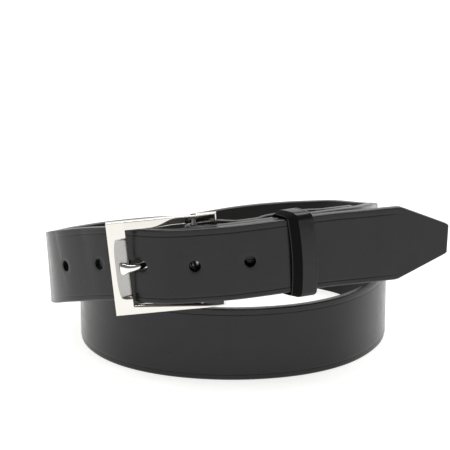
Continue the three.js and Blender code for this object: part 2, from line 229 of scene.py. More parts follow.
def place_on(distance):
    """Matrix, in mm, of a place on the coil at mid width: x along it, y up its width, z out of its face."""
    point, along, across, out, _ = (v[0] for v in COIL_RUN.at(np.array([distance])))
    return basis(along, across, out, point + across * STRAP_WIDTH / 2)


def basis(x, y, z, origin):
    matrix = np.eye(4)
    matrix[:3, 0], matrix[:3, 1], matrix[:3, 2], matrix[:3, 3] = x, y, z, origin
    return matrix


def buckle_matrix():
    """Matrix, in mm, of the buckle: x from the front bar to the rear bar, y up the frame, z forwards."""
    forward = np.array([0.0, -1.0, 0.0])
    origin = PIN_FOOT - PIN_FROM_FRONT * FRAME_ALONG + STRAP_WIDTH / 2 * FRAME_UP + PIN_DEPTH * forward
    return basis(FRAME_ALONG, FRAME_UP, forward, origin)


BUCKLE = buckle_matrix()
# The heel bar's own directions: z along the pin, origin at its middle
UPRIGHT_PIN = BUCKLE @ basis((1, 0, 0), (0, 0, -1), (0, 1, 0), (PIN_FROM_FRONT, 0, -PIN_DEPTH))


# ---------------------------------------------------------------- mesh helpers

def placed(points, matrix=None):
    """Points in mm, through a matrix, as metres in the part's frame."""
    points = np.asarray(points, float)
    if matrix is not None:
        points = points @ matrix[:3, :3].T + matrix[:3, 3]
    return (points - FOOTPRINT_CENTRE) * MM


def make_object(name, points, faces, materials, material_of=None, matrix=None, sharp=30.0):
    mesh = bpy.data.meshes.new(name)
    mesh.from_pydata(placed(points, matrix).tolist(), [], faces)
    for material in materials:
        mesh.materials.append(material)
    if material_of is not None:
        mesh.polygons.foreach_set("material_index", material_of)
    piece = bpy.data.objects.new(name, mesh)
    bpy.context.scene.collection.objects.link(piece)
    tidy(mesh, sharp)
    return piece


def tidy(mesh, sharp):
    """Merges doubled points, turns the faces out and smooths all but the sharp edges."""
    work = bmesh.new()
    work.from_mesh(mesh)
    bmesh.ops.remove_doubles(work, verts=work.verts, dist=2e-7)
    bmesh.ops.recalc_face_normals(work, faces=work.faces)
    work.to_mesh(mesh)
    work.free()
    mesh.polygons.foreach_set("use_smooth", [True] * len(mesh.polygons))
    mesh.set_sharp_from_angle(angle=math.radians(sharp))


def tube_faces(rows, columns, closed_rows=False):
    """Quads between consecutive closed sections of a sweep."""
    faces = []
    for i in range(rows if closed_rows else rows - 1):
        a, b = i * columns, ((i + 1) % rows) * columns
        for j in range(columns):
            k = (j + 1) % columns
            faces.append((a + j, a + k, b + k, b + j))
    return faces


def smooth_step(t):
    t = min(max(t, 0.0), 1.0)
    return t * t * (3 - 2 * t)


def ring_gaps(radius, steps):
    """Gaps from a side wall at which to cut a quarter round, from the wall inwards."""
    return [radius * (1 - math.sin(a)) for a in np.linspace(0, np.pi / 2, steps)][::-1]


def lathe(name, outline, matrix, materials, segments=48, sharp=30.0):
    """Body turned about the local z axis from (radius, height) points that start and end on the axis."""
    angles = 2 * np.pi * np.arange(segments) / segments
    points = [(r * math.cos(a), r * math.sin(a), z) for r, z in outline[1:-1] for a in angles]
    rows = len(outline) - 2
    faces = tube_faces(rows, segments)
    points += [(0, 0, outline[0][1]), (0, 0, outline[-1][1])]
    bottom, top = len(points) - 2, len(points) - 1
    for j in range(segments):
        k = (j + 1) % segments
        faces.append((j, k, bottom))
        faces.append(((rows - 1) * segments + j, (rows - 1) * segments + k, top))
    return make_object(name, points, faces, materials, matrix=matrix, sharp=sharp)


def rounded_corner(x0, y0, x1, y1, x2, y2, radius, steps=8):
    """Points of a round at the middle of three corners of an outline."""
    a, b, c = Vector((x0, y0)), Vector((x1, y1)), Vector((x2, y2))
    start, end = b + (a - b).normalized() * radius, b + (c - b).normalized() * radius
    return [tuple(start.lerp(b, t).lerp(b.lerp(end, t), t)) for t in np.linspace(0, 1, steps)]


# ---------------------------------------------------------------- materials

class Nodes:
    """Small helper that adds and links shader nodes."""

    def __init__(self, name):
        self.material = bpy.data.materials.new(name)
        self.material.use_nodes = True
        self.tree = self.material.node_tree
        self.shader = self.tree.nodes["Principled BSDF"]
        self.position = self.add("ShaderNodeTexCoord").outputs["Object"]

    def add(self, kind, **inputs):
        node = self.tree.nodes.new(kind)
        for name, value in inputs.items():
            self.feed(node.inputs[name.replace("_", " ")], value)
        return node

    def feed(self, socket, value):
        if isinstance(value, bpy.types.NodeSocket):
            self.tree.links.new(value, socket)
        else:
            socket.default_value = value

    def noise(self, scale, detail=2.0, roughness=0.5, where=None):
        node = self.add("ShaderNodeTexNoise", Scale=scale, Detail=detail, Roughness=roughness)
        self.feed(node.inputs["Vector"], where or self.position)
        return node.outputs["Fac"]

    def cells(self, scale, where=None):
        """Distance to the edges of random cells: the pebbles of a grain."""
        node = self.add("ShaderNodeTexVoronoi", Scale=scale)
        node.feature = "DISTANCE_TO_EDGE"
        self.feed(node.inputs["Vector"], where or self.position)
        return node.outputs["Distance"]

    def remap(self, value, low, high, to_low, to_high):
        node = self.add("ShaderNodeMapRange")
        self.feed(node.inputs[0], value)
        for socket, number in zip(node.inputs[1:5], (low, high, to_low, to_high)):
            socket.default_value = number
        return node.outputs[0]

    def mix_colour(self, factor, first, second):
        node = self.add("ShaderNodeMix")
        node.data_type = "RGBA"
        self.feed(node.inputs[0], factor)
        self.feed(node.inputs[6], first)
        self.feed(node.inputs[7], second)
        return node.outputs[2]

    def bump(self, height, distance, strength, below=None):
        node = self.add("ShaderNodeBump", Strength=strength, Distance=distance)
        self.feed(node.inputs["Height"], height)
        if below is not None:
            self.feed(node.inputs["Normal"], below)
        return node.outputs["Normal"]


def grey(value, warm=0.0):
    return (value * (1 + warm), value, value * (1 - warm), 1.0)


def grain_leather(name, dark, light, rough_low, rough_high, specular):
    """Smooth corrected-grain leather: fine pebbles, pores and faint handling marks under a satin finish."""
    n = Nodes(name)
    n.shader.inputs["Specular IOR Level"].default_value = specular
    patches = n.remap(n.noise(90, 4), 0.35, 0.7, 0, 1)
    n.feed(n.shader.inputs["Base Color"], n.mix_colour(patches, dark, light))
    n.feed(n.shader.inputs["Roughness"], n.remap(n.noise(210, 5, 0.6), 0.3, 0.7, rough_low, rough_high))
    pebbles = n.bump(n.remap(n.cells(2300), 0.0, 0.25, 0, 1), 0.00003, 0.22)
    pores = n.bump(n.noise(5200, 2), 0.00003, 0.2, pebbles)
    n.feed(n.shader.inputs["Normal"], n.bump(n.noise(45, 3), 0.0005, 0.12, pores))
    return n.material


def lining_leather(name):
    """Matt lining on the inner face: darker fibres over a felted nap."""
    n = Nodes(name)
    n.shader.inputs["Specular IOR Level"].default_value = 0.25
    n.shader.inputs["Sheen Weight"].default_value = 0.1
    n.shader.inputs["Sheen Roughness"].default_value = 0.6
    fibres = n.noise(2600, 6, 0.7)
    n.feed(n.shader.inputs["Base Color"], n.mix_colour(fibres, grey(0.01, 0.05), grey(0.022, 0.05)))
    n.feed(n.shader.inputs["Roughness"], n.remap(fibres, 0.3, 0.7, 0.72, 0.92))
    n.feed(n.shader.inputs["Normal"], n.bump(fibres, 0.00012, 0.5))
    return n.material


def edge_paint(name):
    """Burnished, painted edge: smoother than the face, with a slow ripple."""
    n = Nodes(name)
    n.shader.inputs["Specular IOR Level"].default_value = 0.6
    n.feed(n.shader.inputs["Base Color"], n.mix_colour(n.noise(300, 3), grey(0.012), grey(0.026)))
    n.feed(n.shader.inputs["Roughness"], n.remap(n.noise(700, 3), 0.3, 0.7, 0.28, 0.42))
    n.feed(n.shader.inputs["Normal"], n.bump(n.noise(900, 3), 0.00005, 0.3))
    return n.material


def raw_leather_and_painted_shade(name):
    """Dull, dark walls of the punched holes, and painted shade on the keeper's skived edge: loose fibres
    and no finish.
    """
    n = Nodes(name)
    n.shader.inputs["Specular IOR Level"].default_value = 0.12
    fibres = n.noise(3200, 4, 0.7)
    n.feed(n.shader.inputs["Base Color"], n.mix_colour(fibres, grey(0.003, 0.05), grey(0.009, 0.05)))
    n.feed(n.shader.inputs["Roughness"], n.remap(fibres, 0.3, 0.7, 0.8, 0.95))
    n.feed(n.shader.inputs["Normal"], n.bump(fibres, 0.0001, 0.4))
    return n.material


def chrome(name, tint, rough_low, rough_high):
    """Polished plating with hairline scratches and a faint unevenness."""
    n = Nodes(name)
    n.shader.inputs["Metallic"].default_value = 1.0
    stretch = n.add("ShaderNodeMapping", Vector=n.position)
    stretch.inputs["Scale"].default_value = (40, 700, 3500)
    scratches = n.noise(1.0, 4, 0.7, where=stretch.outputs[0])
    duller = tuple(0.94 * c for c in tint)
    n.feed(n.shader.inputs["Base Color"], n.mix_colour(n.noise(120, 2), tint, duller))
    n.feed(n.shader.inputs["Roughness"], n.remap(scratches, 0.35, 0.75, rough_low, rough_high))
    n.feed(n.shader.inputs["Normal"], n.bump(n.noise(500, 2), 0.00001, 0.12))
    return n.material


STRAP_GRAIN = grain_leather("strap_grain", grey(0.006, -0.06), grey(0.0095, -0.06), 0.19, 0.28, 0.38)
KEEPER_GRAIN = grain_leather("keeper_grain", grey(0.006, -0.06), grey(0.0095, -0.06), 0.19, 0.28, 0.38)
LINING = lining_leather("strap_lining")
EDGE = edge_paint("strap_edge")
CHROME = chrome("buckle_plating", (0.8, 0.778, 0.735, 1.0), 0.05, 0.13)
# Near-black leather for the cut walls; on the keeper's skived slope its dark is painted shade
RAW_LEATHER_AND_PAINTED_SHADE = raw_leather_and_painted_shade("strap_hole_wall_and_keeper_painted_shade")
PRONG_CHROME = chrome("prong_plating", (0.88, 0.875, 0.86, 1.0), 0.04, 0.1)
# Darker, rougher copy of the plating for the prong's seat: the darker tint is painted shade in the scoop,
# the roughness a satin finish
SEAT_SATIN_AND_PAINTED_SHADE = chrome("buckle_seat_satin_and_painted_shade", (0.46, 0.455, 0.44, 1.0), 0.24, 0.38)
PIN_METAL = chrome("pin_steel", (0.35, 0.345, 0.335, 1.0), 0.22, 0.34)
# Black-oxide screws, whose black also stands in as painted shade inside the strap's holes
SCREW_BLACKENED_AND_PAINTED_SHADE = chrome("screw_blackened_and_painted_shade", (0.035, 0.035, 0.037, 1.0), 0.3, 0.42)


# ---------------------------------------------------------------- strap

def edge_zone_gaps():
    """Gaps from an edge at which the strap is cut: its round, then both slopes of the crease."""
    crease = [CREASE_FROM_EDGE + k * CREASE_HALF_WIDTH for k in (-3, -1.6, -0.8, 0, 0.8, 1.6, 3)]
    return [*ring_gaps(EDGE_RADIUS, 6), 1.3, *crease, EDGE_ZONE]


def strap_distances():
    """Distances of the sections: close together at the holes, the bend, the screws and the tip."""
    length = STRAP_RUN.length
    spots = [(h, 5.5, 0.55) for h in HOLES]
    spots[PRONG_HOLE] = (HOLES[PRONG_HOLE], 10.0, 0.6)
    spots += [(COIL_START, 14.0, 0.6)]
    spots += [(COIL_START + at, 6.0, 0.7) for at in SCREW_AT]
    found = list(np.arange(1.0, length - 1.0, 1.9))
    for middle, reach, step in spots:
        found = [d for d in found if abs(d - middle) > reach]
        found += list(np.arange(middle - reach, middle + reach + 0.01, step))
    found = [d for d in found if d < length - EDGE_ZONE - 0.3 and d > 1.2]
    found += [length - gap for gap in edge_zone_gaps()] + ring_gaps(EDGE_RADIUS, 6)
    found = np.unique(np.round(found, 3))
    keep = np.concatenate([[True], np.diff(found) > 0.02])
    return found[keep]


def half_width(distance):
    """Half of the strap's width at a distance: slanted from shoulders to tip, with rounded corners."""
    to_end = STRAP_RUN.length - distance
    slant = TIP_END_WIDTH / 2 + (STRAP_WIDTH - TIP_END_WIDTH) / 2 * to_end / TIP_TAPER_LENGTH
    half = min(STRAP_WIDTH / 2, slant)
    return half - round_drop(to_end, TIP_CORNER_RADIUS) - round_drop(distance, FOLD_END_CORNER_RADIUS)


def section_rows():
    """Columns of the front and back face as (value, kind): a gap from an edge, or a share of the middle."""
    gaps = edge_zone_gaps()
    middle = [-0.82, -0.64, -0.5, -0.4, -0.32, -0.25, -0.18, -0.11, -0.04]
    middle += [-m for m in reversed(middle)]
    front = [(g, "low") for g in gaps] + [(m, "middle") for m in middle]
    front += [(g, "high") for g in reversed(gaps)]
    back_gaps = [*ring_gaps(BACK_EDGE_RADIUS, 4), 2.0]
    back_middle = [0.7, 0.35, 0.0, -0.35, -0.7]
    back = [(g, "high") for g in back_gaps] + [(m, "middle") for m in back_middle]
    back += [(g, "low") for g in reversed(back_gaps)]
    return front, back


def across_position(value, kind, half, stretch):
    if kind == "middle":
        return value * (half - EDGE_ZONE * stretch)
    inset = min(value * stretch, half) if value > EDGE_RADIUS else value
    return inset - half if kind == "low" else half - inset


def round_drop(gap, radius):
    """How far a rounded edge lies below the face at a gap from the side wall."""
    if gap >= radius:
        return 0.0
    return radius - math.sqrt(max(radius**2 - (radius - gap) ** 2, 0.0))


def hole_dimple(distance, a):
    drop = 0.0
    for i, middle in enumerate(HOLES):
        straight = PRONG_HOLE_LENGTH / 2 - HOLE_RADIUS if i == PRONG_HOLE else 0.0
        beyond = max(abs(distance - middle) - straight, 0.0)
        gap = math.hypot(beyond, a) - HOLE_RADIUS
        drop = max(drop, HOLE_DIMPLE * math.exp(-((max(gap, 0.0) / HOLE_DIMPLE_REACH) ** 2)))
    return drop


def front_height(distance, a, half, stretch):
    """How far the front face lies below its plane: rounded edges, a pressed crease and the holes' rims."""
    to_side = half - abs(a)
    to_end = STRAP_RUN.length - distance
    drop = round_drop(min(to_side, to_end, distance), EDGE_RADIUS)
    off_crease = (to_side / stretch - CREASE_FROM_EDGE) / CREASE_HALF_WIDTH
    crease = CREASE_DEPTH * math.exp(-(off_crease**2))
    drop = max(drop, crease * smooth_step((to_end - TIP_TAPER_LENGTH) / CREASE_FADE_LENGTH + 0.5))
    return drop + hole_dimple(distance, a) + FACE_SETBACK


def strap_slots(front_columns, columns):
    """Material of each column of faces: 0 grain, 1 lining, 2 painted edge."""
    edge_columns = 5
    slots = [0] * columns
    slots[front_columns + 2:columns - 3] = [1] * (columns - 5 - front_columns)
    slots[:edge_columns] = [2] * edge_columns
    slots[columns - 3:] = [2] * 3
    high_edge = front_columns - edge_columns - 1
    slots[high_edge:front_columns + 2] = [2] * (front_columns + 2 - high_edge)
    return slots


def strap():
    distances = strap_distances()
    front, back = section_rows()
    points, _, across, out, thickness = STRAP_RUN.at(distances)
    mesh_points = []
    for i, distance in enumerate(distances):
        half = half_width(distance)
        stretch = TIP_SLANT if STRAP_RUN.length - distance < TIP_TAPER_LENGTH else 1.0
        t = thickness[i] / 2
        end_gap = min(distance, STRAP_RUN.length - distance)
        for value, kind in front:
            a = across_position(value, kind, half, stretch)
            depth = t - front_height(distance, a, half, stretch)
            mesh_points.append(points[i] + across[i] * (STRAP_WIDTH / 2 + a) + out[i] * depth)
        for value, kind in back:
            a = across_position(value, kind, half, 1.0)
            depth = -t + round_drop(min(half - abs(a), end_gap), BACK_EDGE_RADIUS)
            mesh_points.append(points[i] + across[i] * (STRAP_WIDTH / 2 + a) + out[i] * depth)
    columns = len(front) + len(back)
    faces = tube_faces(len(distances), columns)
    slots = strap_slots(len(front), columns) * (len(distances) - 1)
    last = (len(distances) - 1) * columns
    faces += [tuple(range(columns))[::-1], tuple(last + j for j in range(columns))]
    slots += [2, 2]
    materials = [STRAP_GRAIN, LINING, EDGE, RAW_LEATHER_AND_PAINTED_SHADE]
    piece = make_object("strap_leather", mesh_points, faces, materials, slots, sharp=40)
    cut(piece, strap_cutters())
    return piece


def prism(outline, low, high, matrix, flare=1.0):
    """Closed prism between two heights, its upper outline scaled by flare."""
    points = [(x, y, low) for x, y in outline] + [(x * flare, y * flare, high) for x, y in outline]
    points = np.array(points) @ matrix[:3, :3].T + matrix[:3, 3]
    count = len(outline)
    faces = [tuple(range(count))[::-1], tuple(range(count, 2 * count))]
    faces += [(j, (j + 1) % count, count + (j + 1) % count, count + j) for j in range(count)]
    return points, faces


def stadium(length, radius, steps=20):
    straight = length / 2 - radius
    angles = np.linspace(-np.pi / 2, np.pi / 2, steps)
    right = [(straight + radius * math.cos(a), radius * math.sin(a)) for a in angles]
    left = [(-x, -y) for x, y in right]
    return right[:-1] + left[:-1] if straight <= 0 else right + left


def rectangle(x0, x1, y0, y1):
    return [(x0, y0), (x1, y0), (x1, y1), (x0, y1)]


def strap_cutters():
    """Tools for the holes, the prong's slot in the bend, and the screws' barrels and heads."""
    cutters = []
    reach = STRAP_THICKNESS / 2 + 0.75
    for i, distance in enumerate(HOLES):
        length = PRONG_HOLE_LENGTH if i == PRONG_HOLE else 2 * HOLE_RADIUS
        cutters.append(prism(stadium(length, HOLE_RADIUS), -reach, reach, place_on(distance - COIL_START)))
    half_slot = PRONG_WIDTH / 2 + 1
    slot = rectangle(PIN_FROM_FRONT - 4.9, PIN_FROM_FRONT + 6.3, -half_slot, half_slot)
    cutters.append(prism(slot, -PIN_DEPTH - 6.05, -PIN_DEPTH + 4.55, BUCKLE))
    for distance in SCREW_AT:
        face = np.interp(distance, COIL_RUN.distance, COIL_RUN.thickness) / 2
        place = place_on(distance)
        barrel, recess = BARREL_RADIUS + 0.3, CAP_RADIUS + 0.3
        cutters.append(prism(stadium(2 * barrel, barrel), -10.2, face - 1, place))
        cutters.append(prism(stadium(2 * recess, recess), face - 1.35, face + 0.3, place))
    return cutters


def cut(piece, cutters):
    """Cuts the tools, as one mesh, out of a piece, and leaves the cut faces in its last material."""
    points, faces = [], []
    for more_points, more_faces in cutters:
        faces += [tuple(len(points) + k for k in f) for f in more_faces]
        points += list(more_points)
    tool = make_object("cutting_tools", points, faces, [], sharp=30)
    for material in piece.data.materials:
        tool.data.materials.append(material)
    last = len(piece.data.materials) - 1
    tool.data.polygons.foreach_set("material_index", [last] * len(tool.data.polygons))
    boolean = piece.modifiers.new("cut", "BOOLEAN")
    boolean.operation, boolean.solver, boolean.object = "DIFFERENCE", "EXACT", tool
    boolean.use_self = True
    bpy.context.view_layer.update()
    graph = bpy.context.evaluated_depsgraph_get()
    made = bpy.data.meshes.new_from_object(piece.evaluated_get(graph))
    piece.modifiers.clear()
    old = piece.data
    piece.data = made
    bpy.data.meshes.remove(old)
    bpy.data.objects.remove(tool)
    made.polygons.foreach_set("use_smooth", [True] * len(made.polygons))
    made.set_sharp_from_angle(angle=math.radians(38))


# ---------------------------------------------------------------- keeper

def keeper_line(count=24):
    """Closed centre line of the loop seen along the strap: x out of its face, y up its width."""
    grow = KEEPER_THICKNESS / 2
    top = STRAP_WIDTH / 2 + 0.8 + grow
    back = -STRAP_THICKNESS / 2 - KEEPER_CLEARANCE - grow
    front = STRAP_THICKNESS * 1.5 + LAYER_GAP + KEEPER_CLEARANCE + grow
    corner = 3.0
    shares = np.linspace(-1, 1, count)
    bulge = [(front + KEEPER_BULGE * (1 - share**2), share * (top - corner)) for share in shares]
    line = rounded_corner(back, top - 5, back, top, back + 5, top, corner)
    line += rounded_corner(front - 5, top, front, top, front, top - 5, corner)
    line += bulge[::-1][1:-1]
    line += rounded_corner(front, -top + 5, front, -top, front - 5, -top, corner)
    line += rounded_corner(back + 5, -top, back, -top, back, -top + 5, corner)
    line += [(back, y) for y in np.linspace(-top + 6, top - 6, 9)]
    return np.array(line)


def keeper_section():
    """Section of the band, skived on the left: (position along the strap, height off the centre line)."""
    half, t = KEEPER_WIDTH / 2, KEEPER_THICKNESS / 2
    skived = t - SKIVE_DEPTH
    shoulder = SKIVE_WIDTH - half
    outer = [(-half, skived - 0.3), (-half + 0.12, skived - 0.08), (-half + 0.4, skived)]
    outer += [(shoulder - 0.5, t - 0.2), (shoulder - 0.15, t - 0.05), (shoulder + 0.3, t), (0.4, t)]
    groove_at = 1.5
    groove = [groove_at + k for k in (0.4, 0.2, 0, -0.2, -0.4)]
    gaps = [2.6, *groove, 0.9, *reversed(ring_gaps(0.55, 5))]
    for gap in gaps:
        drop = round_drop(gap, 0.55) + 0.12 * math.exp(-(((gap - groove_at) / 0.2) ** 2))
        outer.append((half - gap, t - drop))
    inner_gaps = ring_gaps(0.4, 4)
    inner = [(half - gap, -t + round_drop(gap, 0.4)) for gap in inner_gaps]
    inner += [(-p, h) for p, h in reversed(inner)]
    return outer + inner


def keeper():
    line = keeper_line()
    following = np.roll(line, -1, axis=0) - np.roll(line, 1, axis=0)
    tangent = unit(following)
    normal = np.stack([-tangent[:, 1], tangent[:, 0]], axis=-1)
    if normal[np.argmax(line[:, 0]), 0] < 0:
        normal = -normal
    section = keeper_section()
    points = []
    for (x, y), (nx, ny) in zip(line, normal):
        for along, height in section:
            out = x + nx * height
            points.append((along + KEEPER_SKEW * out, y + ny * height, out))
    faces = tube_faces(len(line), len(section), closed_rows=True)
    # The skived slope takes the near-black raw-edge material: painted shade down the keeper's left side
    slot_of = [int(in_skive(a, b)) for a, b in zip(section, section[1:] + section[:1])]
    slots = slot_of * len(line)
    materials = [KEEPER_GRAIN, RAW_LEATHER_AND_PAINTED_SHADE]
    return make_object("keeper_leather", points, faces, materials, slots, place_on(KEEPER_AT), sharp=45)


def in_skive(first, second):
    """Whether the stretch of the band's section between two of its points is on the skived slope."""
    end = SKIVE_WIDTH - KEEPER_WIDTH / 2
    return first[0] < end and second[0] < end + 0.01 and first[1] > -0.6


# ---------------------------------------------------------------- buckle frame

FILLET = 0.3
SCOOP_START = 2.3
SCOOP_END_START = 3.7
SCOOP_HALF_LENGTH = 14.7
SCOOP_ROLL_OVER = 6.9
SCOOP_DEPTH = 1.2
SCOOP_EDGE_DEPTH = 1.15
BEVEL_SLOPE = 0.62
REAR_RIM_FROM = 49.8
REAR_BAR_DROP = 1.2
TOP_ARM_TILT = 0.055
# Heights of the front face and the back face at distances from the front bar's outer side
FACE_LINE = ([0, 34, 38, 42, 46, 50.5], [0, 0, 0.2, 0.2, -0.4, -1.0])
BACK_LINE = ([0, 32, 38, 42, 46, 50.5], [-2.8, -2.9, -3.7, -3.7, -3.6, -3.4])


def bevel_reach(x, side):
    """Width of an arm's inner bevel: thin at the front bar, nearly the whole arm at the rear."""
    start, length = (21.0, 11.0) if side > 0 else (FRONT_BAR_WIDTH, 38.0)
    t = min(max((x - start) / length, 0.0), 1.0)
    return 0.4 + 3.25 * (smooth_step(t) if side > 0 else t)


def scoop_start(y):
    share = min(abs(y), SCOOP_HALF_LENGTH) / SCOOP_HALF_LENGTH
    return SCOOP_START + (SCOOP_END_START - SCOOP_START) * share**4


def scoop_depth(x, y):
    """Depth of the prong's seat in the front bar: a gentle slope, then a steep one at the inner edge."""
    start = scoop_start(y)
    gentle = SCOOP_DEPTH * max(x - start, 0.0) / (SCOOP_ROLL_OVER - start)
    steep_share = max(x - SCOOP_ROLL_OVER, 0.0) / (FRONT_BAR_WIDTH - SCOOP_ROLL_OVER)
    depth = min(gentle, SCOOP_DEPTH) + SCOOP_EDGE_DEPTH * steep_share**1.3
    return depth * smooth_step((SCOOP_HALF_LENGTH - abs(y)) / 1.6)


def plan_gap(x, y):
    """Distance from a plan point of the frame to its nearest side wall, outside or in the opening."""
    outer = min(x, FRAME_LENGTH - x, FRAME_HALF_HEIGHT - abs(y))
    dx = max(FRONT_BAR_WIDTH - x, x - (FRAME_LENGTH - REAR_BAR_WIDTH), 0.0)
    dy = max(abs(y) - OPENING_HALF_HEIGHT, 0.0)
    return max(min(outer, math.hypot(dx, dy)), 0.0)


def frame_front(x, y):
    height = np.interp(x, *FACE_LINE) - round_drop(plan_gap(x, y), FILLET)
    inside = abs(y) - OPENING_HALF_HEIGHT
    if x <= FRONT_BAR_WIDTH + 1e-6:
        return height - scoop_depth(x, y)
    if inside < -1e-6:
        return height - REAR_BAR_DROP
    if y > 0 and x > FRONT_BAR_WIDTH:
        height -= TOP_ARM_TILT * inside
    reach = bevel_reach(x, y)
    if inside < reach and x < REAR_RIM_FROM:
        height -= BEVEL_SLOPE * (reach - inside)
    return height


def frame_back(x, y):
    return np.interp(x, *BACK_LINE) + round_drop(plan_gap(x, y), FILLET)


def plan_blocks():
    """Grids of (x, y) over the frame's four bars, whose lines follow the edges of the facets."""
    rim = ring_gaps(FILLET, 5)
    bar_lines = len(rim) * 2 + 12
    even = np.linspace(-OPENING_HALF_HEIGHT, OPENING_HALF_HEIGHT, 57)
    scoop_ends = [side * (SCOOP_HALF_LENGTH - k * 0.4) for side in (-1, 1) for k in range(5)]
    opening_ends = [side * (OPENING_HALF_HEIGHT - r) for side in (-1, 1) for r in rim]
    ys = np.unique(np.concatenate([even, scoop_ends, opening_ends]))

    def bar_xs(y):
        start = scoop_start(y)
        xs = [*rim, *np.linspace(FILLET, start, 4)[1:], *np.linspace(start, SCOOP_ROLL_OVER, 6)[1:],
              *np.linspace(SCOOP_ROLL_OVER, FRONT_BAR_WIDTH - FILLET, 5)[1:]]
        return [*xs, *[FRONT_BAR_WIDTH - r for r in reversed(rim[:-1])]]

    rear_xs = [FRAME_LENGTH - REAR_BAR_WIDTH + r for r in rim] + [48.6, 49.7, 49.85]
    rear_xs += [FRAME_LENGTH - r for r in reversed(rim)]
    front_block = [[(x, y) for x in bar_xs(y)] for y in ys]
    rear_block = [[(x, y) for x in rear_xs] for y in ys]
    end_xs = bar_xs(OPENING_HALF_HEIGHT)
    arm_xs = [*end_xs, *[FRONT_BAR_WIDTH + r for r in rim[1:]], *np.linspace(9.2, 46.7, 40),
              *[FRAME_LENGTH - REAR_BAR_WIDTH - r for r in reversed(rim[1:])], *rear_xs]
    arm_blocks = [
        [[(x, side * arm_y(x, side, k, rim, bar_lines)) for x in arm_xs] for k in range(bar_lines)]
        for side in (1, -1)
    ]
    return [front_block, rear_block, *arm_blocks]


def arm_y(x, side, k, rim, count):
    """Height of line k of an arm: the rims, then lines on both sides of the bevel's outer edge."""
    edges = len(rim)
    if k < edges:
        return OPENING_HALF_HEIGHT + rim[k]
    if k >= count - edges:
        return FRAME_HALF_HEIGHT - rim[count - 1 - k]
    low, high = OPENING_HALF_HEIGHT + FILLET, FRAME_HALF_HEIGHT - FILLET
    middle = OPENING_HALF_HEIGHT + bevel_reach(x, side)
    step = k - edges + 1
    inner_steps = (count - 2 * edges) // 2
    if step <= inner_steps:
        return low + (middle - low) * step / inner_steps
    return middle + (high - middle) * (step - inner_steps) / (count - 2 * edges - inner_steps + 1)


def sheet_of_blocks(blocks, height):
    points, faces = [], []
    for rows in blocks:
        start = len(points)
        columns = len(rows[0])
        points += [(x, y, height(x, y)) for row in rows for x, y in row]
        for i in range(len(rows) - 1):
            for j in range(columns - 1):
                a = start + i * columns + j
                faces.append((a, a + 1, a + columns + 1, a + columns))
    return points, faces


def buckle_frame():
    blocks = plan_blocks()
    mesh = bmesh.new()
    sheets = []
    for height in (frame_front, frame_back):
        points, faces = sheet_of_blocks(blocks, height)
        sheets.append(([mesh.verts.new(p) for p in points], faces))
    for verts, faces in sheets:
        for face in faces:
            mesh.faces.new([verts[k] for k in face])
    pair = dict(zip(sheets[0][0], sheets[1][0]))
    front_rims = [e for e in mesh.edges if e.is_boundary and e.verts[0] in pair and e.verts[1] in pair]
    for edge in front_rims:
        a, b = edge.verts
        if on_wall(a.co, b.co):
            mesh.faces.new((a, b, pair[b], pair[a]))
    bmesh.ops.remove_doubles(mesh, verts=mesh.verts, dist=1e-4)
    points = [tuple(v.co) for v in mesh.verts]
    mesh.verts.index_update()
    faces = [tuple(v.index for v in f.verts) for f in mesh.faces]
    mesh.free()
    # Faces in the scooped seat take the darker copy of the plating, painted shade
    seat = [1 if in_seat([points[k] for k in face]) else 0 for face in faces]
    materials = [CHROME, SEAT_SATIN_AND_PAINTED_SHADE, CHROME]
    piece = make_object("buckle_frame_plated", points, faces, materials, seat, BUCKLE, sharp=24)
    bore = stadium(2 * PIN_RADIUS + 0.2, PIN_RADIUS + 0.1, 12)
    cut(piece, [prism(bore, -FRAME_HALF_HEIGHT - 1, FRAME_HALF_HEIGHT + 1, UPRIGHT_PIN)])
    return piece


def in_seat(corners):
    """Whether a face lies in the scooped seat, below the flat of the front bar."""
    x, y, z = np.mean(corners, axis=0)
    return x < FRONT_BAR_WIDTH - 0.1 and scoop_depth(x, y) > 0.04 and z > -scoop_depth(x, y) - 0.4


def on_wall(a, b):
    """Whether an edge of the plan lies along a side wall, and not along a seam between two blocks."""
    middle = (a + b) / 2
    return plan_gap(middle.x, middle.y) < 1e-3


# ---------------------------------------------------------------- heel bar, prong and screws

def heel_bar():
    half = FRAME_HALF_HEIGHT - 0.2
    r = PIN_RADIUS
    outline = [(0, -half), (r - 0.5, -half), (r - 0.15, -half + 0.12), (r, -half + 0.4)]
    outline += [(r, half - 0.4), (r - 0.15, half - 0.12), (r - 0.5, half), (0, half)]
    return lathe("heel_bar_pin", outline, UPRIGHT_PIN, [PIN_METAL])


# Centre line of the prong from the eye to the tip: x, z, width, thickness
PRONG_LINE = [
    (37.6, -2.2, 3.7, 2.2), (33, -2.8, 3.7, 2.2), (28, -3.9, 3.7, 2.2), (24.5, -4.9, 3.6, 2.2),
    (21, -5.5, 3.3, 2.1), (18.4, -5.4, 3.1, 2.0), (16.6, -4.5, 3.0, 2.0), (14.8, -3.1, 3.0, 2.0),
    (13, -1.7, 3.0, 2.0), (11.4, -0.7, 3.0, 2.0), (10, -0.2, 3.2, 2.1), (8.4, 0.0, 3.7, 2.2),
    (7.2, 0.2, 4.6, 2.1), (6.2, 0.33, 5.4, 1.9), (5.2, 0.42, 5.4, 1.5), (4.6, 0.45, 4.2, 1.0),
    (4.3, 0.45, 2.4, 0.4),
]


